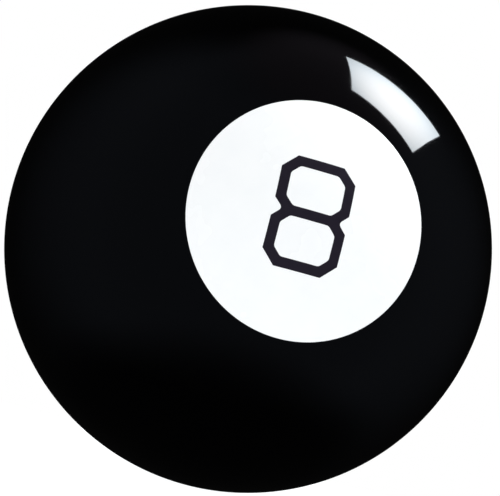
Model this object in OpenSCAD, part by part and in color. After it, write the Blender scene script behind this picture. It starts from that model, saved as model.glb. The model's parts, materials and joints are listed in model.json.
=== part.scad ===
// Fortune-telling toy ball shaped like a numbered pool ball.
// Two black shell halves hold a liquid-filled reservoir with a floating twenty-sided die,
// which is read through a window opposite the numbered disc.
// The sub-parts are drawn with the ball's axis along Z, the numbered disc at +Z and the
// window at -Z. place() turns the whole ball so that the disc faces -Y and the window +Y.

/* [Ball] */
// Outside diameter of the ball
ball_d = 101.6; // [101:0.1:104]
// Wall thickness of the two shell halves
shell_wall = 2.6; // [2.2:0.1:3]
// How far the front half's locating lip reaches into the rear half
lip_h = 2.5; // [1.5:0.1:3.5]
// Width and depth of the fine groove along the seam
seam_groove = 0.3; // [0.2:0.05:0.4]

/* [Numbered disc] */
// Diameter of the white disc
disc_d = 43; // [38:0.5:46]
// Thickness of the disc, which lies flush in the shell
disc_t = 0.5; // [0.4:0.05:0.8]
// Height of the numeral
numeral_h = 19.9; // [16:0.1:22]
// Width of the numeral
numeral_w = 13.6; // [11:0.1:15]
// Width of the numeral's stroke
numeral_stroke = 1.8; // [1.3:0.05:2.2]
// Corner cut of each of the numeral's two loops
numeral_cut = 2.55; // [2:0.05:3]
// How far left of the disc's centre the numeral is printed
numeral_left = 0.45; // [0:0.05:0.6]
// Depth of the numeral in the disc
numeral_t = 0.25; // [0.15:0.05:0.3]

/* [Window] */
// Diameter of the window's clear opening
window_d = 42; // [38:0.5:43]
// Diameter of the bezel around the window
bezel_d = 59; // [58:0.5:60]
// Distance from the ball's centre to the bezel's flat rim
rim_z = 44.4; // [44:0.1:44.8]
// How far the lens sits below the rim
lens_recess = 1.8; // [1.4:0.1:2.2]
// Thickness of the lens
lens_t = 2.4; // [2:0.1:2.8]
// Thickness of the sealing ring behind the lens
seal_t = 1; // [0.6:0.1:1.2]

/* [Reservoir] */
// Outside diameter of the reservoir tube
tube_d = 50; // [49.6:0.1:50.2]
// Wall thickness of the reservoir tube
tube_wall = 2; // [1.6:0.1:2.4]
// Distance from the ball's centre to the tube's cap end
tube_end_z = 18; // [17:0.1:19]
// Diameter of the tube's flange and of the cap
cap_d = 56; // [54:0.5:58]
// Thickness of the cap's plate
cap_t = 2.5; // [2:0.1:3]
// Thickness of the ring between flange and cap
cap_seal_t = 0.8; // [0.6:0.1:1.2]
// Diameter of the filling hole
fill_d = 6; // [5:0.5:7]
// Diameter of the funnel's throat
throat_d = 8; // [7:0.5:9]

/* [Die] */
// Edge length of the twenty-sided die
die_edge = 18; // [16:0.5:18]
// Wall thickness of the hollow die
die_wall = 1.4; // [1:0.1:1.8]
// Height of the raised bars on the die's faces
bar_h = 0.8; // [0.5:0.1:0.9]
// Distance that the die floats from the window to the funnel
die_travel = 18.5; // [10:0.5:18.5]

/* [Hidden] */
$fn = 180;
eps = 0.01;

// Shell
ball_r = ball_d / 2;
cavity_r = ball_r - shell_wall;
lip_out_r = ball_r - shell_wall / 2 - 0.1;
lip_in_r = cavity_r - 0.4;
lip_gap = 0.08;
disc_r = disc_d / 2;
clamp_r = 22;
clamp_wall = 2;
rib_t = 1.6;
front_ribs = 4;
rear_ribs = 6;

// Window
bezel_r = bezel_d / 2;
window_r = window_d / 2;
bezel_chamfer = 0.8;
sleeve_gap = 0.2;
sleeve_wall = 1.8;
sleeve_depth = 7.4;
tube_r = tube_d / 2;
sleeve_in_r = tube_r + sleeve_gap;
sleeve_r = sleeve_in_r + sleeve_wall;
collar_in_r = sleeve_r + sleeve_gap;
collar_wall = 2;
collar_step_z = -rim_z + sleeve_depth + 0.5;
collar_end_z = -28;
lens_out_z = -rim_z + lens_recess;
lens_in_z = lens_out_z + lens_t;
lens_r = tube_r - 0.1;
seal_in_r = tube_r - tube_wall - 0.1;

// Reservoir
tube_start_z = lens_in_z + seal_t;
tube_in_r = tube_r - tube_wall;
flange_t = 2;
cap_r = cap_d / 2;
cap_start_z = tube_end_z + cap_seal_t;
cap_end_z = cap_start_z + cap_t;
spigot_depth = 2.6;
spigot_wall = 2;
spigot_r = tube_in_r - 0.2;
fill_r = fill_d / 2;
fill_offset = 11;
plug_head_r = fill_r + 1.6;
plug_head_t = 1.2;
throat_r = throat_d / 2;
funnel_wall = 1.2;
funnel_gap = 0.4;
funnel_skirt = 3;
funnel_rise = 6;
throat_h = 5.5;
funnel_r = tube_in_r - 0.1;
funnel_in_r = funnel_r - funnel_wall;

// Die, which the funnel's cone stops at the far end of its travel
phi = (1 + sqrt(5)) / 2;
corner_face_r = phi * phi / sqrt(3);
die_in_r = die_edge / 2 * corner_face_r;
die_gap = 0.3;
die_z = lens_in_z + die_gap + bar_h + die_in_r;
funnel_slope = funnel_rise / (funnel_in_r - throat_r);
funnel_stop_z = die_z + die_travel + die_in_r + funnel_gap;
funnel_cone_z = funnel_stop_z - (funnel_in_r - die_edge / sqrt(3)) * funnel_slope;
funnel_low_z = funnel_cone_z - funnel_skirt;
funnel_top_z = funnel_cone_z + funnel_rise;
throat_end_z = funnel_top_z + throat_h;
bar_w = 1.1;
bar_pitch = 2.1;
bar_lengths = [1.6, 4.2, 6.8];
fluid_gap = 0.3;
cavity_in_r = die_in_r + bar_h + 0.2;

// Corners of a regular icosahedron of edge 2, and the directions of its twenty faces
corners = [
  for (a = [-1, 1], b = [-phi, phi])
    each [[0, a, b], [a, b, 0], [b, 0, a]]
];
face_dirs = concat(
  [for (x = [-1, 1], y = [-1, 1], z = [-1, 1]) [x, y, z]],
  [for (a = [-1 / phi, 1 / phi], b = [-phi, phi])
    each [[a, 0, b], [b, a, 0], [0, b, a]]]
);

function unit(v) = v / norm(v);
// Which three corners belong to the face looking along n, clockwise from outside
function near_corners(n) = [for (i = [0:len(corners) - 1]) if (unit(corners[i]) * n > 0.7) i];
function turn(f) = cross(corners[f[1]] - corners[f[0]], corners[f[2]] - corners[f[0]]);
function clockwise(f, n) = turn(f) * n < 0 ? f : [f[0], f[2], f[1]];
function face_corner(n) = corners[near_corners(n)[0]];
function face_up(n) = unit(face_corner(n) - (face_corner(n) * n) * n);
// Rows of the frame whose Z is the face's normal and whose Y points to one of its corners
function face_frame(n) = [cross(face_up(n), n), face_up(n), n];
function columns(rows) = [
  for (i = [0:2]) [rows[0][i], rows[1][i], rows[2][i], 0]
];
function rows4(rows) = [for (r = rows) [r[0], r[1], r[2], 0]];

// Turns the ball's axis from Z to -Y, with the top of the numeral at +Z
module place() {
  rotate([90, 0, 0])
    children();
}

// A round part drawn by its outline, as points of radius and height
module lathe(points) {
  rotate_extrude()
    polygon(points);
}

module ring(outer_r, inner_r, low, high) {
  translate([0, 0, low])
    difference() {
      cylinder(r = outer_r, h = high - low);
      translate([0, 0, -1])
        cylinder(r = inner_r, h = high - low + 2);
    }
}

// The skin between two spheres, as deep as thickness under the ball's surface
module skin(thickness) {
  difference() {
    sphere(r = ball_r);
    sphere(r = ball_r - thickness);
  }
}

module half_space(side) {
  translate([0, 0, side * ball_d / 2])
    cube([2 * ball_d, 2 * ball_d, ball_d], center = true);
}

// Upright plates around the axis, each with the same outline of radius and height
module radial_ribs(count, points) {
  for (i = [0:count - 1])
    rotate([90, 0, (i + 0.5) * 360 / count])
      linear_extrude(height = rib_t, center = true)
        polygon(points);
}

// Half of the V-shaped groove along the seam, on the side given
module seam_cut(side) {
  lathe([
    [ball_r - seam_groove, 0],
    [ball_r + 1, 0],
    [ball_r + 1, side * (seam_groove + 1) / 2]
  ]);
}

module front_shell() {
  color("#101114")
    place()
      difference() {
        union() {
          intersection() {
            skin(shell_wall);
            half_space(1);
          }
          ring(lip_out_r, lip_in_r, -lip_h, lip_h);
          intersection() {
            union() {
              ring(clamp_r, clamp_r - clamp_wall, cap_end_z, ball_r);
              radial_ribs(front_ribs, [
                [clamp_r - clamp_wall / 2, cap_end_z],
                [cap_r, cap_end_z],
                [cap_r + 6, ball_r],
                [clamp_r - clamp_wall / 2, ball_r]
              ]);
            }
            sphere(r = cavity_r + shell_wall / 3);
          }
        }
        intersection() {
          skin(disc_t);
          cylinder(r = disc_r, h = ball_d);
        }
        seam_cut(1);
      }
}

module rear_shell() {
  color("#101114")
    place()
      difference() {
        union() {
          intersection() {
            skin(shell_wall);
            half_space(-1);
          }
          intersection() {
            union() {
              ring(collar_in_r + collar_wall, tube_r - 3, -ball_r, collar_end_z);
              radial_ribs(rear_ribs, [
                [collar_in_r + collar_wall / 2, collar_end_z],
                [collar_in_r + collar_wall / 2, -ball_r],
                [cavity_r, -ball_r],
                [cavity_r, collar_end_z]
              ]);
            }
            sphere(r = cavity_r + shell_wall / 3);
          }
        }
        translate([0, 0, -ball_r - 1])
          cylinder(r = collar_in_r, h = ball_r + 1 + collar_step_z);
        translate([0, 0, -ball_r - 1])
          cylinder(r = tube_r + sleeve_gap, h = ball_r + 2 + collar_end_z);
        translate([0, 0, -lip_h - lip_gap])
          cylinder(r = lip_out_r + lip_gap, h = lip_h + 1);
        seam_cut(-1);
      }
}

// A closed loop with its four corners cut, of the numeral's stroke all round
module block_loop(w, h) {
  difference() {
    cut_rectangle(w, h, numeral_cut);
    cut_rectangle(
      w - 2 * numeral_stroke,
      h - 2 * numeral_stroke,
      numeral_cut - numeral_stroke * (2 - sqrt(2))
    );
  }
}

module cut_rectangle(w, h, cut) {
  polygon([
    [w / 2, h / 2 - cut], [w / 2 - cut, h / 2],
    [cut - w / 2, h / 2], [-w / 2, h / 2 - cut],
    [-w / 2, cut - h / 2], [cut - w / 2, -h / 2],
    [w / 2 - cut, -h / 2], [w / 2, cut - h / 2]
  ]);
}

// Two loops that share the middle bar
module numeral_solid() {
  loop_h = (numeral_h + numeral_stroke) / 2;
  intersection() {
    skin(numeral_t);
    linear_extrude(height = ball_d)
      for (side = [-1, 1])
        translate([-numeral_left, side * (numeral_h - loop_h) / 2])
          block_loop(numeral_w, loop_h);
  }
}

module number_disc() {
  color("white")
    place()
      difference() {
        intersection() {
          skin(disc_t);
          cylinder(r = disc_r, h = ball_d);
        }
        numeral_solid();
      }
}

module numeral_eight() {
  color("#1b1730")
    place()
      numeral_solid();
}

module window_bezel() {
  color("#101114")
    place() {
      difference() {
        lathe([
          [window_r + bezel_chamfer, -rim_z],
          [bezel_r - bezel_chamfer, -rim_z],
          [bezel_r, bezel_chamfer - rim_z],
          [bezel_r, -ball_r / 2],
          [sleeve_r - eps, -ball_r / 2],
          [sleeve_r - eps, lens_out_z],
          [window_r, lens_out_z],
          [window_r, bezel_chamfer - rim_z]
        ]);
        difference() {
          sphere(r = ball_r);
          translate([0, 0, -ball_r])
            cylinder(r = sleeve_r, h = ball_r);
        }
        translate([0, 0, lens_out_z])
          cylinder(r = sleeve_r - sleeve_wall, h = ball_r);
        translate([0, 0, -rim_z + sleeve_depth])
          cylinder(r = ball_r, h = ball_r);
      }
      ring(sleeve_r, sleeve_in_r, lens_out_z, sleeve_depth - rim_z);
    }
}

module window_lens() {
  color("#cfe3f5", 0.35)
    place()
      translate([0, 0, lens_out_z])
        cylinder(r = lens_r, h = lens_t);
}

module window_seal() {
  color("#1c1c1c")
    place()
      ring(lens_r, seal_in_r, lens_in_z, tube_start_z);
}

module reservoir_tube() {
  color("#d9dce0")
    place() {
      ring(tube_r, tube_in_r, tube_start_z, tube_end_z);
      ring(cap_r, tube_in_r, tube_end_z - flange_t, tube_end_z);
    }
}

// An upturned funnel that keeps the air behind it, away from the window
module bubble_funnel() {
  color("#c7ccd6")
    place()
      lathe([
        [funnel_r, funnel_low_z],
        [funnel_r, funnel_cone_z + funnel_wall],
        [throat_r + funnel_wall, funnel_top_z + funnel_wall],
        [throat_r + funnel_wall, throat_end_z],
        [throat_r, throat_end_z],
        [throat_r, funnel_top_z],
        [funnel_in_r, funnel_cone_z],
        [funnel_in_r, funnel_low_z]
      ]);
}

module cap_seal() {
  color("#1c1c1c")
    place()
      ring(cap_r, tube_in_r, tube_end_z, cap_start_z);
}

module reservoir_cap() {
  color("#d9dce0")
    place()
      difference() {
        union() {
          translate([0, 0, cap_start_z])
            cylinder(r = cap_r, h = cap_t);
          ring(spigot_r, spigot_r - spigot_wall, cap_start_z - spigot_depth, cap_end_z);
        }
        translate([0, fill_offset, cap_start_z - 1])
          cylinder(r = fill_r, h = cap_t + 2);
      }
}

module fill_plug() {
  color("#b9bec8")
    place()
      translate([0, fill_offset, 0]) {
        translate([0, 0, cap_start_z])
          cylinder(r = fill_r, h = cap_t);
        translate([0, 0, cap_end_z])
          cylinder(r = plug_head_r, h = plug_head_t);
      }
}

// A regular icosahedron whose faces lie inner_r from its centre
module icosahedron(inner_r) {
  polyhedron(
    points = corners * inner_r / corner_face_r,
    faces = [for (d = face_dirs) clockwise(near_corners(unit(d)), d)]
  );
}

// Three raised bars of growing length, the shortest towards the face's corner
module face_bars() {
  for (i = [0:len(bar_lengths) - 1])
    translate([0, (1 - i) * bar_pitch, die_in_r + bar_h / 2 - 0.1])
      cube([bar_lengths[i], bar_w, bar_h + 0.2], center = true);
}

// Puts the die's first face squarely behind the window
module die_place() {
  translate([0, 0, die_z])
    rotate([180, 0, 0])
      multmatrix(rows4(face_frame(unit(face_dirs[0]))))
        children();
}

module die_half(side) {
  intersection() {
    die_place()
      difference() {
        union() {
          icosahedron(die_in_r);
          for (d = face_dirs)
            multmatrix(columns(face_frame(unit(d))))
              face_bars();
        }
        icosahedron(die_in_r - die_wall);
      }
    translate([0, 0, die_z])
      half_space(side);
  }
}

module die_window_half() {
  color("white")
    place()
      die_half(-1);
}

module die_far_half() {
  color("white")
    place()
      die_half(1);
}

// The fluid between the window and the funnel, with room for the die
module dyed_fluid() {
  fluid_r = tube_in_r - fluid_gap;
  funnel_fluid_r = funnel_in_r - fluid_gap;
  throat_fluid_r = throat_r - fluid_gap;
  color("#16307a", 0.6)
    place()
      difference() {
        lathe([
          [0, lens_in_z + fluid_gap],
          [fluid_r, lens_in_z + fluid_gap],
          [fluid_r, funnel_low_z - fluid_gap],
          [funnel_fluid_r, funnel_low_z - fluid_gap],
          [funnel_fluid_r, funnel_cone_z - fluid_gap],
          [throat_fluid_r, funnel_top_z - fluid_gap],
          [throat_fluid_r, throat_end_z],
          [0, throat_end_z]
        ]);
        die_place()
          icosahedron(cavity_in_r);
      }
}

front_shell();
rear_shell();
number_disc();
numeral_eight();
window_bezel();
window_lens();
window_seal();
reservoir_tube();
bubble_funnel();
cap_seal();
reservoir_cap();
fill_plug();
dyed_fluid();
die_window_half();
die_far_half();
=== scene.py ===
import json
import math

import bmesh
import bpy
from mathutils import Matrix, Vector


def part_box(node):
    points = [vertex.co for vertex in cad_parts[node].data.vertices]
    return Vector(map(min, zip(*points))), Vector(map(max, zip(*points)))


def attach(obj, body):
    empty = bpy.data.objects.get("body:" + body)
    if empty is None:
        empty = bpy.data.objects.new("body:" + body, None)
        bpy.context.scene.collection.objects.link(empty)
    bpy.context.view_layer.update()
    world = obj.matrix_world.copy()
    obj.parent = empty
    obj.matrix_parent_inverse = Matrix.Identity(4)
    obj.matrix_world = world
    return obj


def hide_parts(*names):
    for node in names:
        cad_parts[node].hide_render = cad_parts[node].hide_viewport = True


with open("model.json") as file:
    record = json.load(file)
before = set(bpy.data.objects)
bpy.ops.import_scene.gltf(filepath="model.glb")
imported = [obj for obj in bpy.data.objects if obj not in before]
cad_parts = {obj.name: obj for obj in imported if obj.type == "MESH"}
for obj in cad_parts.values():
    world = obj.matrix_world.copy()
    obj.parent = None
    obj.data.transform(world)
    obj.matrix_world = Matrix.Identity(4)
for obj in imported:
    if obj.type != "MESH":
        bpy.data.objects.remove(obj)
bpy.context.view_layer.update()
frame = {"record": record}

MM = 0.001

# ---------------------------------------------------------------- sizes, from the CAD nodes
# Every round piece turns about the Y axis: the numbered disc is at -Y and the window at +Y.


def low(node):
    return Vector(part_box(node)[0])


def high(node):
    return Vector(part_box(node)[1])


BALL_R = high("front_shell").x
WALL = 2.6 * MM
CAVITY_R = BALL_R - WALL
GROOVE = 0.3 * MM
GROOVE_LEAN = 0.01 * MM
LIP_LENGTH = high("front_shell").y
LIP_SETBACK = 0.1 * MM
LIP_OUT_R = BALL_R - WALL / 2 - LIP_SETBACK
LIP_INSET = 0.4 * MM
LIP_IN_R = CAVITY_R - LIP_INSET
LIP_GAP = 0.08 * MM

DISC_R = high("number_disc").x
DISC_T = 0.5 * MM
DISC_PLAY = 0.02 * MM
NUMERAL_W = high("numeral_eight").x - low("numeral_eight").x
NUMERAL_H = high("numeral_eight").z - low("numeral_eight").z
NUMERAL_X = (high("numeral_eight").x + low("numeral_eight").x) / 2
STROKE = 1.8 * MM
CORNER_CUT = 2.55 * MM
INK_T = 0.02 * MM
INK_DEPTH = 0.2 * MM

RIM_Y = high("window_bezel").y
BEZEL_R = high("window_bezel").x
SLEEVE_END_Y = low("window_bezel").y
LENS_R = high("window_lens").x
LENS_OUT_Y = high("window_lens").y
LENS_IN_Y = low("window_lens").y
WINDOW_R = 21 * MM
LENS_PLAY = 0.1 * MM
TUBE_R = LENS_R + LENS_PLAY
SLEEVE_PLAY = 0.2 * MM
SLEEVE_WALL = 1.8 * MM
SLEEVE_IN_R = TUBE_R + SLEEVE_PLAY
SLEEVE_R = SLEEVE_IN_R + SLEEVE_WALL
COLLAR_R = SLEEVE_R + SLEEVE_PLAY
COLLAR_WALL = 2 * MM
COLLAR_OUT_R = COLLAR_R + COLLAR_WALL
COLLAR_STEP_Y = SLEEVE_END_Y - 0.5 * MM
COLLAR_END_Y = 28 * MM

CLAMP_Y = low("reservoir_cap").y
CLAMP_R = 22 * MM
CLAMP_WALL = 2 * MM
RIB_T = 1.6 * MM
RIB_ROOT = 0.5 * MM
FRONT_RIBS = 4
REAR_RIBS = 6

FUNNEL_WALL = 1.2 * MM
FUNNEL_SKIRT = 3 * MM
FUNNEL_RISE = 6 * MM
THROAT_R = 4 * MM

# Radii of rounded edges
DISC_EDGE = 0.06 * MM
FINE_EDGE = 0.12 * MM
SLEEVE_EDGE = 0.2 * MM
MOULD_EDGE = 0.3 * MM
BEZEL_EDGE = 0.7 * MM

# Steps in an arc of an outline, and round a turned piece
FINE_ARC = 96
ARC = 48
SHORT_ARC = 24
SEAT_ARC = 12
TURN_STEPS = 256
FLUID_STEPS = 128
# Cuts across each face of the numeral, so that it follows the ball
NUMERAL_CUTS = 7

FLOOR_Z = -BALL_R


# ---------------------------------------------------------------- mesh helpers

SHARP_ANGLE = math.radians(35)
GENTLE_TURN = math.radians(12)
SMALLEST_R = 0.0001 * MM
SMALLEST_GAP = 0.001 * MM


def add_to_scene(name, data):
    thing = bpy.data.objects.new(name, data)
    bpy.context.scene.collection.objects.link(thing)
    return thing


def shade(mesh):
    """Smooth shading, except at edges sharper than SHARP_ANGLE."""
    mesh.shade_smooth()
    mesh.set_sharp_from_angle(angle=SHARP_ANGLE)


def new_object(name, bm):
    """A smooth mesh object made from bm."""
    bmesh.ops.recalc_face_normals(bm, faces=bm.faces)
    mesh = bpy.data.meshes.new(name)
    bm.to_mesh(mesh)
    bm.free()
    shade(mesh)
    return add_to_scene(name, mesh)


def ball_y(r, sphere_r, side):
    """Where a sphere about the origin has radius r from the Y axis, on the side given."""
    return side * math.sqrt(max(sphere_r**2 - r**2, 0))


def sphere_arc(sphere_r, start, end, side, steps):
    """Points of radius and height along a sphere, between two radii from the axis."""
    a = math.asin(min(start / sphere_r, 1))
    b = math.asin(min(end / sphere_r, 1))
    angles = [a + (b - a) * i / steps for i in range(steps + 1)]
    return [(sphere_r * math.sin(t), side * sphere_r * math.cos(t)) for t in angles]


def rounded(points, radius, steps=4):
    """The outline with its inner corners rounded, and a close point each side to hold flats flat."""
    side_limit = 2.2
    hold_reach = 0.03 * MM
    hold_share = 0.04
    out = [points[0]]
    for last, p, following in zip(points, points[1:], points[2:]):
        here = Vector(p)
        before = Vector(last) - here
        after = Vector(following) - here
        turn = math.pi - before.angle(after)
        if turn < GENTLE_TURN:
            out.append(p)
            continue
        limit = min(before.length, after.length) / side_limit
        reach = min(radius * math.tan(turn / 2), limit)
        a = here + before.normalized() * reach
        b = here + after.normalized() * reach
        hold = min(hold_reach, hold_share * before.length, hold_share * after.length)
        out.append(tuple(a + before.normalized() * hold))
        for k in range(steps + 1):
            t = k / steps
            q = a * (1 - t) ** 2 + here * 2 * t * (1 - t) + b * t**2
            out.append((q.x, q.y))
        out.append(tuple(b + after.normalized() * hold))
    return out + [points[-1]]


def lathe(name, points, steps=TURN_STEPS, closed=False):
    """A solid turned about the Y axis from an outline of radius and height."""
    bm = bmesh.new()
    turns = [2 * math.pi * k / steps for k in range(steps)]
    rings = []
    for r, y in points:
        if r < SMALLEST_R:
            rings.append([bm.verts.new((0, y, 0))] * steps)
        else:
            rings.append([bm.verts.new((r * math.cos(t), y, r * math.sin(t))) for t in turns])
    pairs = list(zip(rings, rings[1:]))
    if closed:
        pairs.append((rings[-1], rings[0]))
    for one, two in pairs:
        for k in range(steps):
            m = (k + 1) % steps
            corners = dict.fromkeys([one[k], one[m], two[m], two[k]])
            if len(corners) > 2:
                bm.faces.new(list(corners))
    return new_object(name, bm)


def plate(bm, outline, angle):
    """Adds a flat rib from an outline of radius and height, turned about the Y axis."""
    turn = Matrix.Rotation(angle, 3, "Y")
    back = [bm.verts.new(turn @ Vector((r, y, -RIB_T / 2))) for r, y in outline]
    front = [bm.verts.new(turn @ Vector((r, y, RIB_T / 2))) for r, y in outline]
    bm.faces.new(front)
    bm.faces.new(back[::-1])
    for i in range(len(outline)):
        k = (i + 1) % len(outline)
        bm.faces.new([back[i], back[k], front[k], front[i]])


def with_ribs(piece, outline, count):
    """Joins a ring of equal ribs to a turned piece."""
    bm = bmesh.new()
    bm.from_mesh(piece.data)
    for i in range(count):
        plate(bm, outline, (i + 0.5) * 2 * math.pi / count)
    bm.to_mesh(piece.data)
    bm.free()
    shade(piece.data)
    return piece


# ---------------------------------------------------------------- materials


class Nodes:
    """A short way to build the node tree of a material or a world."""

    def __init__(self, owner, coords="Object"):
        owner.use_nodes = True
        self.owner = owner
        self.tree = owner.node_tree
        self.tree.nodes.clear()
        self.coords = self.add("ShaderNodeTexCoord").outputs[coords]

    def add(self, kind, settings=None, **inputs):
        node = self.tree.nodes.new(kind)
        for key, value in (settings or {}).items():
            setattr(node, key, value)
        for key, value in inputs.items():
            self.put(node.inputs[key.replace("_", " ")], value)
        return node

    def put(self, socket, value):
        if isinstance(value, bpy.types.NodeSocket):
            self.tree.links.new(value, socket)
        else:
            socket.default_value = value

    def noise(self, scale, detail=2.0, roughness=0.5, distortion=0.0):
        node = self.add(
            "ShaderNodeTexNoise",
            Vector=self.coords,
            Scale=scale,
            Detail=detail,
            Roughness=roughness,
            Distortion=distortion,
        )
        return node.outputs["Fac"]

    def spread(self, value, low_in, high_in, low_out=0.0, high_out=1.0):
        """Moves a range of values to another one, and holds it there."""
        node = self.add(
            "ShaderNodeMapRange",
            Value=value,
            From_Min=low_in,
            From_Max=high_in,
            To_Min=low_out,
            To_Max=high_out,
        )
        return node.outputs["Result"]

    def soft_spread(self, value, dark, light):
        """0 at dark and 1 at light, with an eased step between."""
        node = self.add(
            "ShaderNodeMapRange",
            {"interpolation_type": "SMOOTHSTEP"},
            Value=value,
            From_Min=dark,
            From_Max=light,
        )
        return node.outputs["Result"]

    def math(self, operation, a, b):
        node = self.add("ShaderNodeMath", {"operation": operation})
        self.put(node.inputs[0], a)
        self.put(node.inputs[1], b)
        return node.outputs[0]

    def dot(self, a, b):
        node = self.add("ShaderNodeVectorMath", {"operation": "DOT_PRODUCT"})
        self.put(node.inputs[0], a)
        self.put(node.inputs[1], b)
        return node.outputs["Value"]

    def levelled(self, vector):
        """The unit vector that points the same way, without its height."""
        flat = self.add("ShaderNodeVectorMath", {"operation": "MULTIPLY"})
        self.put(flat.inputs[0], vector)
        self.put(flat.inputs[1], (1, 1, 0))
        unit = self.add("ShaderNodeVectorMath", {"operation": "NORMALIZE"})
        self.put(unit.inputs[0], flat.outputs["Vector"])
        return unit.outputs["Vector"]

    def blend(self, factor, colour_a, colour_b):
        node = self.add("ShaderNodeMix", {"data_type": "RGBA"})
        self.put(node.inputs["Factor"], factor)
        self.put(node.inputs["A"], colour_a)
        self.put(node.inputs["B"], colour_b)
        return node.outputs["Result"]

    def bump(self, height, strength, distance):
        node = self.add(
            "ShaderNodeBump", Height=height, Strength=strength, Distance=distance
        )
        return node.outputs["Normal"]

    def scratches(self, scale, width, stretch):
        """Fine straight scratches, as the edges of long thin Voronoi cells."""
        mapping = self.add(
            "ShaderNodeMapping",
            Vector=self.coords,
            Rotation=(0.4, 0.9, 0.7),
            Scale=(1, stretch, 1),
        )
        cells = self.add(
            "ShaderNodeTexVoronoi",
            {"feature": "DISTANCE_TO_EDGE"},
            Vector=mapping.outputs["Vector"],
            Scale=scale,
        )
        return self.spread(cells.outputs["Distance"], 0.0, width, 1.0, 0.0)

    def surface(self, shader):
        return self.add("ShaderNodeOutputMaterial", Surface=shader)

    def principled(self, **inputs):
        return self.add("ShaderNodeBsdfPrincipled", **inputs).outputs["BSDF"]


def new_material(name):
    return Nodes(bpy.data.materials.new(name))


def gloss_black():
    """Polished black moulded plastic, with faint flow, haze and hairline scratches."""
    n = new_material("gloss_black_plastic")
    cloud = n.noise(scale=28, detail=4, roughness=0.55)
    haze = n.noise(scale=60, detail=5, roughness=0.6, distortion=0.4)
    patches = n.spread(n.noise(scale=35), 0.52, 0.7)
    marks = n.math("MULTIPLY", n.scratches(scale=170, width=0.018, stretch=0.12), patches)
    clean = n.spread(haze, 0.35, 0.7, 0.035, 0.055)
    peel = n.noise(scale=420, roughness=0.45)
    height = n.math("SUBTRACT", peel, n.math("MULTIPLY", marks, 0.4))
    n.surface(
        n.principled(
            Base_Color=n.blend(cloud, (0.00015, 0.00015, 0.0002, 1), (0.0003, 0.0003, 0.00035, 1)),
            Roughness=n.math("ADD", clean, n.math("MULTIPLY", marks, 0.05)),
            IOR=1.5,
            Normal=n.bump(height, strength=0.05, distance=0.02 * MM),
        )
    )
    return n.owner


def printed_white():
    """A smooth white print: nearly even, with a faint mottle and a soft gloss."""
    n = new_material("printed_white")
    mottle = n.spread(n.noise(scale=220, detail=4, roughness=0.6), 0.3, 0.7)
    grain = n.noise(scale=2600, detail=3, roughness=0.6)
    n.surface(
        n.principled(
            Base_Color=n.blend(mottle, (0.915, 0.935, 0.945, 1), (0.94, 0.955, 0.96, 1)),
            Roughness=n.spread(n.noise(scale=90, detail=3), 0.3, 0.7, 0.22, 0.30),
            IOR=1.46,
            Normal=n.bump(grain, strength=0.05, distance=0.01 * MM),
        )
    )
    return n.owner


def numeral_ink():
    """Dark violet-black ink, a little uneven in cover."""
    n = new_material("numeral_ink")
    cover = n.spread(n.noise(scale=700, detail=4, roughness=0.65), 0.3, 0.75)
    grain = n.noise(scale=3000, detail=3, roughness=0.6)
    n.surface(
        n.principled(
            Base_Color=n.blend(cover, (0.0113, 0.0080, 0.0172, 1), (0.0160, 0.0110, 0.0227, 1)),
            Roughness=n.spread(cover, 0.0, 1.0, 0.30, 0.42),
            IOR=1.46,
            Normal=n.bump(grain, strength=0.12, distance=0.01 * MM),
        )
    )
    return n.owner


def satin_black():
    """Satin black plastic with a fine moulded grain and rubbed patches."""
    n = new_material("satin_black_plastic")
    cloud = n.noise(scale=120, detail=4, roughness=0.6)
    grain = n.noise(scale=4200, detail=3, roughness=0.7)
    rub = n.spread(n.noise(scale=160, detail=3, roughness=0.55), 0.45, 0.65)
    marks = n.scratches(scale=260, width=0.02, stretch=0.15)
    height = n.math("SUBTRACT", grain, n.math("MULTIPLY", marks, 0.25))
    n.surface(
        n.principled(
            Base_Color=n.blend(cloud, (0.006, 0.006, 0.007, 1), (0.012, 0.012, 0.013, 1)),
            Roughness=n.math("SUBTRACT", 0.34, n.math("MULTIPLY", rub, 0.05)),
            IOR=1.5,
            Normal=n.bump(height, strength=0.16, distance=0.03 * MM),
        )
    )
    return n.owner


def lets_lamps_through(n, shader):
    """Light from lamps passes straight through the surface and isn't shadowed."""
    mix = n.add("ShaderNodeMixShader")
    n.put(mix.inputs[0], n.add("ShaderNodeLightPath").outputs["Is Shadow Ray"])
    n.put(mix.inputs[1], shader)
    n.put(mix.inputs[2], n.add("ShaderNodeBsdfTransparent").outputs["BSDF"])
    return mix.outputs[0]


def clear_lens():
    """Clear polished acrylic, with a few hairline scratches."""
    n = new_material("clear_lens")
    patches = n.spread(n.noise(scale=90), 0.5, 0.7)
    marks = n.math("MULTIPLY", n.scratches(scale=150, width=0.012, stretch=0.1), patches)
    acrylic = n.principled(
        Base_Color=(0.985, 0.995, 1.0, 1),
        Roughness=n.math("ADD", 0.004, n.math("MULTIPLY", marks, 0.06)),
        IOR=1.49,
        Transmission_Weight=1.0,
        Normal=n.bump(n.noise(scale=60), strength=0.04, distance=0.02 * MM),
    )
    n.surface(lets_lamps_through(n, acrylic))
    return n.owner


def dyed_fluid():
    """Clear fluid with a strong blue dye, darker the deeper one looks."""
    n = new_material("dyed_fluid")
    swirl = n.noise(scale=30, detail=3, distortion=1.5)
    liquid = n.principled(
        Base_Color=(0.9, 0.95, 1.0, 1),
        Roughness=n.spread(swirl, 0.3, 0.7, 0.0, 0.015),
        IOR=1.36,
        Transmission_Weight=1.0,
    )
    out = n.surface(lets_lamps_through(n, liquid))
    dye = n.add("ShaderNodeVolumeAbsorption", Color=(0.05, 0.35, 0.93, 1), Density=1200)
    n.put(out.inputs["Volume"], dye.outputs["Volume"])
    return n.owner


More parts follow.
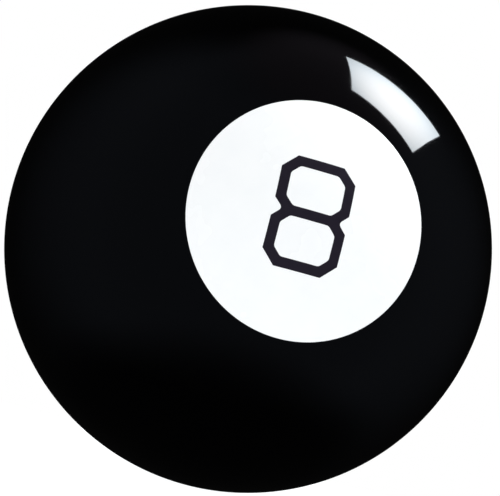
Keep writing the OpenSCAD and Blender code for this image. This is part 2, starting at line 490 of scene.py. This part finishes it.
def moulded(name, dark, light, roughness, grain_scale, sheen):
    """Plain moulded plastic or rubber with a mottle, a grain and uneven gloss."""
    n = new_material(name)
    uneven = 0.06
    mottle = n.spread(n.noise(scale=150, detail=4, roughness=0.6), 0.3, 0.7)
    grain = n.noise(grain_scale, detail=3, roughness=0.65)
    gloss = n.noise(scale=80, detail=3)
    n.surface(
        n.principled(
            Base_Color=n.blend(mottle, (*dark, 1), (*light, 1)),
            Roughness=n.spread(gloss, 0.3, 0.7, roughness - uneven, roughness + uneven),
            IOR=1.48,
            Sheen_Weight=sheen,
            Normal=n.bump(grain, strength=0.15, distance=0.03 * MM),
        )
    )
    return n.owner


def pale_floor():
    """The floor under the ball: pale, matt, and lit from below like a light table."""
    n = new_material("pale_floor")
    tone = n.spread(n.noise(scale=6, detail=3), 0.3, 0.7)
    n.surface(
        n.principled(
            Base_Color=n.blend(tone, (0.10, 0.102, 0.105, 1), (0.12, 0.12, 0.12, 1)),
            Roughness=0.8,
            Specular_IOR_Level=0.0,
            Emission_Color=(1.0, 1.015, 1.03, 1),
            Emission_Strength=n.spread(tone, 0.0, 1.0, 1.0, 1.02),
        )
    )
    return n.owner


MATERIALS = {
    "shell_plastic": gloss_black(),
    "disc_print": printed_white(),
    "numeral_ink": numeral_ink(),
    "bezel_plastic": satin_black(),
    "lens_clear": clear_lens(),
    "dyed_fluid": dyed_fluid(),
}
# For each slot: dark colour, light colour, roughness, scale of the grain, sheen
MOULDED = {
    "seal_rubber": ((0.02, 0.02, 0.02), (0.035, 0.034, 0.033), 0.7, 2500, 0.2),
    "reservoir_plastic": ((0.66, 0.68, 0.72), (0.76, 0.78, 0.81), 0.35, 1800, 0),
    "funnel_plastic": ((0.56, 0.59, 0.64), (0.67, 0.70, 0.74), 0.4, 1600, 0),
    "plug_plastic": ((0.45, 0.47, 0.51), (0.55, 0.57, 0.61), 0.4, 2000, 0),
    "die_plastic": ((0.86, 0.87, 0.89), (0.93, 0.935, 0.94), 0.38, 3000, 0),
}
for slot_name, look in MOULDED.items():
    MATERIALS[slot_name] = moulded(slot_name, *look)


def finish_piece(piece, body, slot, *nodes):
    """Gives a piece the material of its slot, hangs it on its body's empty and hides the CAD nodes
    that it stands for.
    """
    piece.data.materials.clear()
    piece.data.materials.append(MATERIALS[slot])
    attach(piece, body)
    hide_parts(*nodes)
    return piece


# ---------------------------------------------------------------- pieces


def front_shell():
    """The front half: disc recess, ball surface, seam, locating lip and clamp ring."""
    lip_root = 0.5 * MM
    rib_reach = 4 * MM
    recess_r = DISC_R + DISC_PLAY
    seam_y = -GROOVE / 2
    recess = sphere_arc(BALL_R - DISC_T, 0, recess_r, -1, SHORT_ARC)
    ball = sphere_arc(BALL_R, recess_r, BALL_R, -1, FINE_ARC)
    recess_edge = [recess[-1], (recess_r, ball_y(recess_r, BALL_R, -1)), ball[1]]
    seam_and_lip = [
        (BALL_R, seam_y * 2),
        (BALL_R - GROOVE_LEAN, seam_y),
        (BALL_R - GROOVE, 0),
        (LIP_OUT_R, 0),
        (LIP_OUT_R, LIP_LENGTH),
        (LIP_IN_R, LIP_LENGTH),
        (LIP_IN_R, -LIP_LENGTH),
        (CAVITY_R - LIP_SETBACK, -LIP_LENGTH),
    ]
    cavity = sphere_arc(CAVITY_R, CLAMP_R, CAVITY_R, -1, ARC)[::-1]
    clamp_in_r = CLAMP_R - CLAMP_WALL
    clamp_ring = [
        (CLAMP_R, ball_y(CLAMP_R, CAVITY_R, -1)),
        (CLAMP_R, CLAMP_Y),
        (clamp_in_r, CLAMP_Y),
        (clamp_in_r, ball_y(clamp_in_r, CAVITY_R, -1)),
    ]
    outline = recess + rounded(recess_edge, DISC_EDGE)[1:]
    outline += [p for p in ball[2:] if p[1] < seam_y * 2]
    outline += rounded(seam_and_lip, FINE_EDGE)
    outline += [p for p in cavity if p[1] < -LIP_LENGTH - lip_root]
    outline += rounded(clamp_ring, MOULD_EDGE)
    outline += sphere_arc(CAVITY_R, 0, clamp_in_r, -1, SHORT_ARC)[::-1][1:]
    rib_in_r = CLAMP_R - CLAMP_WALL / 2
    cap_r = high("reservoir_cap").x
    top_r = cap_r + rib_reach
    rib = [
        (rib_in_r, CLAMP_Y),
        (cap_r, CLAMP_Y),
        (top_r, ball_y(top_r, CAVITY_R, -1) - RIB_ROOT),
        (rib_in_r, ball_y(CLAMP_R, CAVITY_R, -1) - RIB_ROOT),
    ]
    return with_ribs(lathe("shell_front", outline), rib, FRONT_RIBS)


def rear_shell():
    """The rear half: seam rebate, ball surface, window hole and the reservoir's collar."""
    seam_y = GROOVE / 2
    rebate_r = LIP_OUT_R + LIP_GAP
    rebate_y = LIP_LENGTH + LIP_GAP
    tube_hole_r = TUBE_R + SLEEVE_PLAY
    ball = sphere_arc(BALL_R, COLLAR_R, BALL_R, 1, FINE_ARC)[::-1]
    ball = [p for p in ball if p[1] > seam_y * 2]
    seam = [
        (rebate_r, rebate_y),
        (rebate_r, 0),
        (BALL_R - GROOVE, 0),
        (BALL_R - GROOVE_LEAN, seam_y),
        (BALL_R, seam_y * 2),
    ]
    collar = [
        ball[-1],
        (COLLAR_R, COLLAR_STEP_Y),
        (tube_hole_r, COLLAR_STEP_Y),
        (tube_hole_r, COLLAR_END_Y),
        (COLLAR_OUT_R, COLLAR_END_Y),
        (COLLAR_OUT_R, ball_y(COLLAR_OUT_R, CAVITY_R, 1)),
    ]
    cavity = sphere_arc(CAVITY_R, COLLAR_OUT_R, CAVITY_R, 1, ARC)[1:]
    outline = rounded(seam, FINE_EDGE)[1:]
    outline += ball
    outline += rounded(collar, MOULD_EDGE)[1:]
    outline += [p for p in cavity if p[1] > rebate_y]
    outline.append((ball_y(rebate_y, CAVITY_R, 1), rebate_y))
    outline.append((rebate_r, rebate_y))
    rib_in_r = COLLAR_OUT_R - RIB_ROOT
    rib = [
        (rib_in_r, COLLAR_END_Y),
        (ball_y(COLLAR_END_Y, CAVITY_R, 1) + RIB_ROOT, COLLAR_END_Y),
        (rib_in_r, ball_y(COLLAR_OUT_R, CAVITY_R, 1) + RIB_ROOT),
    ]
    return with_ribs(lathe("shell_rear", outline, closed=True), rib, REAR_RIBS)


def number_disc():
    """The white disc, flush with the ball's surface, with its edge a hair rounded."""
    flush_r = DISC_R - 0.05 * MM
    edge_y = ball_y(DISC_R, BALL_R, -1)
    # How far each point is in from the edge, and below the ball's surface
    eased_edge = [(0.02 * MM, 0.008 * MM), (0, 0.03 * MM)]
    outline = sphere_arc(BALL_R, 0, flush_r, -1, FINE_ARC)
    outline += [(DISC_R - inward, edge_y + below) for inward, below in eased_edge]
    outline += sphere_arc(BALL_R - DISC_T, 0, DISC_R, -1, ARC)[::-1]
    return lathe("disc_white", outline)


def numeral_outline():
    """The outer and inner edge of one quarter of a block 8: a cut-corner loop on half a bar."""
    waist_round = 0.8 * MM
    loop_round = 1.0 * MM
    steps = 4
    half_w = NUMERAL_W / 2
    half_h = NUMERAL_H / 2
    in_w = half_w - STROKE
    in_cut = CORNER_CUT - STROKE * (2 - math.sqrt(2))
    bar = STROKE / 2
    top = half_h - STROKE
    waist_x = half_w - CORNER_CUT + bar
    lower_corner = (half_w, CORNER_CUT - bar)
    outer = [
        (waist_x, 0),
        lower_corner,
        (half_w, half_h - CORNER_CUT),
        (half_w - CORNER_CUT, half_h),
        (0, half_h),
    ]
    inner = [
        (0, bar),
        (in_w - in_cut, bar),
        (in_w, bar + in_cut),
        (in_w, top - in_cut),
        (in_w - in_cut, top),
        (0, top),
    ]
    waist = [(half_w, bar - CORNER_CUT), (waist_x, 0), lower_corner]
    upper_waist = rounded(waist, waist_round, 2 * steps)[steps + 2:-1]
    outer = [(0, 0), upper_waist[0]] + upper_waist + rounded(outer, FINE_EDGE, steps)[1:]
    return outer, rounded(inner, loop_round, steps)


def numeral_eight():
    """The printed numeral, which follows the disc's curve and stands an ink's depth proud."""
    bm = bmesh.new()
    outer, inner = numeral_outline()
    strip = list(zip(outer, outer[1:], inner[1:], inner))
    for sx, sy in ((1, 1), (-1, 1), (1, -1), (-1, -1)):
        for face in strip:
            corners = list(dict.fromkeys(face))
            bm.faces.new([bm.verts.new((NUMERAL_X + x * sx, 0, y * sy)) for x, y in corners])
    bmesh.ops.remove_doubles(bm, verts=bm.verts, dist=SMALLEST_GAP)
    bmesh.ops.subdivide_edges(bm, edges=bm.edges, cuts=NUMERAL_CUTS, use_grid_fill=True)
    for v in bm.verts:
        v.co.y = -math.sqrt((BALL_R + INK_T) ** 2 - v.co.x**2 - v.co.z**2)
    solid = bmesh.ops.extrude_face_region(bm, geom=list(bm.faces))
    for v in [g for g in solid["geom"] if isinstance(g, bmesh.types.BMVert)]:
        v.co += v.co.normalized() * -INK_DEPTH
    return new_object("numeral_8", bm)


def window_bezel():
    """The ring round the window: flat rim, soft edges, and a sleeve into the shell."""
    lip = 0.7 * MM
    chamfer = 0.8 * MM
    shoulder = 0.4 * MM
    seat_gap = 0.02 * MM
    rim = [
        (WINDOW_R, LENS_OUT_Y),
        (WINDOW_R, RIM_Y - lip),
        (WINDOW_R + chamfer, RIM_Y),
        (BEZEL_R - shoulder, RIM_Y),
        (BEZEL_R, RIM_Y - chamfer),
        (BEZEL_R, ball_y(BEZEL_R, BALL_R, 1) + seat_gap),
    ]
    seat = sphere_arc(BALL_R + seat_gap, SLEEVE_R, BEZEL_R, 1, SEAT_ARC)[::-1]
    sleeve = [
        seat[-1],
        (SLEEVE_R, SLEEVE_END_Y),
        (SLEEVE_IN_R, SLEEVE_END_Y),
        (SLEEVE_IN_R, LENS_OUT_Y),
        (WINDOW_R, LENS_OUT_Y),
    ]
    outline = rounded(rim, BEZEL_EDGE, steps=6)
    outline += seat[1:]
    outline += rounded(sleeve, SLEEVE_EDGE)[1:-1]
    return lathe("bezel_ring", outline, closed=True)


def window_lens():
    """The clear lens, with a fine polished edge."""
    bevel = 0.2 * MM
    outline = [
        (0, LENS_IN_Y),
        (LENS_R - bevel, LENS_IN_Y),
        (LENS_R, LENS_IN_Y + bevel),
        (LENS_R, LENS_OUT_Y - bevel),
        (LENS_R - bevel, LENS_OUT_Y),
        (0, LENS_OUT_Y),
    ]
    return lathe("lens_clear", outline)


def fluid():
    """The dyed fluid, from just behind the lens to the funnel's throat."""
    gap = 0.3 * MM
    lens_gap = 0.1 * MM
    edge = 0.4 * MM
    bowl_r = high("dyed_fluid").x
    funnel_r = high("bubble_funnel").x - FUNNEL_WALL - gap
    throat_r = THROAT_R - gap
    skirt_y = high("bubble_funnel").y + gap
    throat_y = low("bubble_funnel").y
    cone_y = skirt_y - FUNNEL_SKIRT
    outline = [
        (0, LENS_IN_Y - lens_gap),
        (bowl_r, LENS_IN_Y - lens_gap),
        (bowl_r, skirt_y),
        (funnel_r, skirt_y),
        (funnel_r, cone_y),
        (throat_r, cone_y - FUNNEL_RISE),
        (throat_r, throat_y),
        (0, throat_y),
    ]
    return lathe("fluid_blue", rounded(outline, edge), steps=FLUID_STEPS)


def soften_die(die_half):
    """Rounds the moulded die's edges and bars a little; its shape stays the CAD's."""
    weld = die_half.modifiers.new("weld", "WELD")
    weld.merge_threshold = 0.002 * MM
    bevel = die_half.modifiers.new("bevel", "BEVEL")
    bevel.width = 0.16 * MM
    bevel.segments = 3
    bevel.limit_method = "ANGLE"
    bevel.angle_limit = math.radians(25)
    bevel.use_clamp_overlap = True


def dress_kept_nodes():
    """Gives the CAD nodes that are shown as they are their materials."""
    slot_of = {s["node"]: s["material_slot"] for s in frame["record"]["subparts"]}
    kept = [
        "window_seal", "reservoir_tube", "bubble_funnel", "cap_seal",
        "reservoir_cap", "fill_plug", "die_window_half", "die_far_half",
    ]
    for name in kept:
        node = bpy.data.objects[name]
        for material_slot in node.material_slots:
            material_slot.material = MATERIALS[slot_of[name]]
        if slot_of[name] == "die_plastic":
            soften_die(node)


finish_piece(front_shell(), "ball", "shell_plastic", "front_shell")
finish_piece(rear_shell(), "ball", "shell_plastic", "rear_shell")
finish_piece(number_disc(), "ball", "disc_print", "number_disc")
finish_piece(numeral_eight(), "ball", "numeral_ink", "numeral_eight")
finish_piece(window_bezel(), "ball", "bezel_plastic", "window_bezel")
finish_piece(window_lens(), "ball", "lens_clear", "window_lens")
finish_piece(fluid(), "fluid", "dyed_fluid", "dyed_fluid")
dress_kept_nodes()


# ---------------------------------------------------------------- studio

WHITE = (1, 1, 1, 1)
CAMERA_RADII = 5.15
CAMERA_AZIMUTH = -10.92
CAMERA_ELEVATION = -9.4
CAMERA_ROLL = 13.58
SENSOR = 36
NEAREST = 0.01
FARTHEST = 20
# The ball's radius, and its centre's place right of and below the middle, over the view's width
BALL_SHARE = 0.4880
CENTRE_SHARE = (-0.0039, -0.0021)

FLOOR_HALF_SIZE = 2.5
SOFTBOX_DISTANCE = 0.7
REAR_DISTANCE = 0.9


def direction(azimuth, elevation):
    """The unit vector towards a place seen at these angles; azimuth 0 is -Y, 90 is +X."""
    a = math.radians(azimuth)
    e = math.radians(elevation)
    return Vector((math.sin(a) * math.cos(e), -math.cos(a) * math.cos(e), math.sin(e)))


TO_CAMERA = direction(CAMERA_AZIMUTH, CAMERA_ELEVATION)
WALL_AZIMUTH = -6
GROUND_RISE = 0.1
VIOLET_GLOW = direction(60, 75)


def camera():
    """The camera where the ball fills the view as it does in the reference."""
    data = bpy.data.cameras.new("camera")
    data.sensor_width = SENSOR
    ball_angle = math.asin(1 / CAMERA_RADII)
    data.lens = SENSOR * BALL_SHARE / math.tan(ball_angle)
    data.shift_x = -CENTRE_SHARE[0]
    data.shift_y = -CENTRE_SHARE[1]
    data.clip_start = NEAREST
    data.clip_end = FARTHEST
    view = add_to_scene("camera", data)
    turn = (-TO_CAMERA).to_track_quat("-Z", "Y").to_matrix()
    roll = Matrix.Rotation(math.radians(CAMERA_ROLL), 3, "Z")
    place = Matrix.Translation(TO_CAMERA * CAMERA_RADII * BALL_R)
    view.matrix_world = place @ (turn @ roll).to_4x4()
    bpy.context.scene.camera = view


def floor():
    """A pale floor that the ball's polish doesn't mirror."""
    bm = bmesh.new()
    bmesh.ops.create_grid(bm, x_segments=4, y_segments=4, size=FLOOR_HALF_SIZE)
    sheet = new_object("floor", bm)
    sheet.location.z = FLOOR_Z
    sheet.data.materials.append(pale_floor())
    sheet.visible_glossy = False
    sheet.visible_transmission = False


def pale_wall(n, height):
    """How strongly the wall ahead shows: it fades to the sides, the ground and the ceiling."""
    ahead = n.dot(n.levelled(n.coords), direction(WALL_AZIMUTH, 0))
    aside = n.math("POWER", n.math("SUBTRACT", 1.0, ahead), 2)
    lift = n.math("SUBTRACT", height, n.math("MULTIPLY", aside, GROUND_RISE))
    sides = n.soft_spread(ahead, dark=-0.92, light=0.27)
    ground = n.soft_spread(lift, dark=-1.0, light=-0.68)
    ceiling = n.soft_spread(height, dark=1.4, light=0.7)
    return n.math("MULTIPLY", n.math("MULTIPLY", sides, ground), ceiling)


def dim_room(n, height):
    """Nearly black, with the pale wall and a faint violet glow high on the right."""
    ground = n.soft_spread(height, dark=0.0, light=-0.5)
    room = n.blend(ground, (0.003, 0.003, 0.003, 1), (0.004, 0.004, 0.004, 1))
    room = n.blend(pale_wall(n, height), room, (0.062, 0.069, 0.084, 1))
    glow = n.soft_spread(n.dot(n.coords, VIOLET_GLOW), dark=0.80, light=0.97)
    return n.blend(glow, room, (0.058, 0.052, 0.062, 1))


def studio_world():
    """White to the camera, a pale dome to matt surfaces and a dim room to polished ones."""
    world = bpy.data.worlds.new("studio")
    bpy.context.scene.world = world
    n = Nodes(world, coords="Generated")
    world.cycles.sampling_method = "NONE"
    height = n.add("ShaderNodeSeparateXYZ", Vector=n.coords).outputs["Z"]
    path = n.add("ShaderNodeLightPath")
    dome = n.spread(height, -0.15, 0.35, 0.85, 0.97)
    light = n.blend(path.outputs["Is Diffuse Ray"], dim_room(n, height), dome)
    seen = n.blend(path.outputs["Is Camera Ray"], light, WHITE)
    sky = n.add("ShaderNodeBackground", Color=seen, Strength=1.0)
    n.add("ShaderNodeOutputWorld", Surface=sky.outputs[0])


def lamp_glow(name, size, strength, hot_spot, fall):
    """Light from the front of a sheet, with a hot spot, cooler and dimmer away from it."""
    n = new_material(name)
    place = n.add("ShaderNodeSeparateXYZ", Vector=n.coords)
    level = 1.0
    for axis, length, hot, drop in zip("XY", size, hot_spot, fall):
        away = n.math("SUBTRACT", n.math("MULTIPLY", place.outputs[axis], 2 / length), hot)
        loss = n.math("MULTIPLY", n.math("POWER", away, 2), drop)
        level = n.math("MULTIPLY", level, n.math("SUBTRACT", 1.0, loss))
    behind = n.add("ShaderNodeNewGeometry").outputs["Backfacing"]
    glow = n.math("MULTIPLY", n.math("MULTIPLY", level, strength), n.math("SUBTRACT", 1.0, behind))
    warmth = n.spread(level, 0.6, 1.0)
    colour = n.blend(warmth, (0.86, 0.94, 1.0, 1), (0.97, 0.985, 1.0, 1))
    n.surface(n.add("ShaderNodeEmission", Color=colour, Strength=glow).outputs[0])
    return n.owner


def softbox(name, centre, normal, across, size, corners, material):
    """A glowing sheet; its corners are given in halves of its width and height."""
    z_axis = normal.normalized()
    x_axis = (across - across.dot(z_axis) * z_axis).normalized()
    y_axis = z_axis.cross(x_axis)
    bm = bmesh.new()
    for x, y in corners:
        bm.verts.new((x * size[0] / 2, y * size[1] / 2, 0))
    bm.faces.new(bm.verts)
    mesh = bpy.data.meshes.new(name)
    bm.to_mesh(mesh)
    bm.free()
    mesh.materials.append(material)
    sheet = add_to_scene(name, mesh)
    turn = Matrix((x_axis, y_axis, z_axis)).transposed().to_4x4()
    sheet.matrix_world = Matrix.Translation(centre) @ turn
    sheet.visible_camera = False
    return sheet


def main_softbox():
    """The softbox that the ball mirrors at its upper right, slightly out of square."""
    size = (0.380, 0.317)
    softbox(
        "softbox",
        centre=direction(89.7, 60.15) * SOFTBOX_DISTANCE,
        normal=Vector((-0.735, -0.236, -0.636)),
        across=Vector((0.651, 0.016, -0.759)),
        size=size,
        corners=[(-1.01, -0.935), (1.01, -0.98), (0.96, 0.0), (0.94, 1.0), (-1.01, 0.95)],
        material=lamp_glow("softbox", size, strength=13.8, hot_spot=(0.05, 0.35), fall=(0.28, 0.26)),
    )


def rear_softbox():
    """A softbox hidden behind the ball, which lights the window and isn't mirrored."""
    size = (0.26, 0.26)
    sheet = softbox(
        "rear_softbox",
        centre=-TO_CAMERA * REAR_DISTANCE,
        normal=TO_CAMERA,
        across=Vector((1, 0, 0)),
        size=size,
        corners=[(-1, -1), (1, -1), (1, 1), (-1, 1)],
        material=lamp_glow("rear_softbox", size, strength=14.0, hot_spot=(0, 0), fall=(0.2, 0.2)),
    )
    sheet.visible_glossy = False


camera()
floor()
studio_world()
main_softbox()
rear_softbox()
bpy.context.scene.view_settings.view_transform = "Standard"
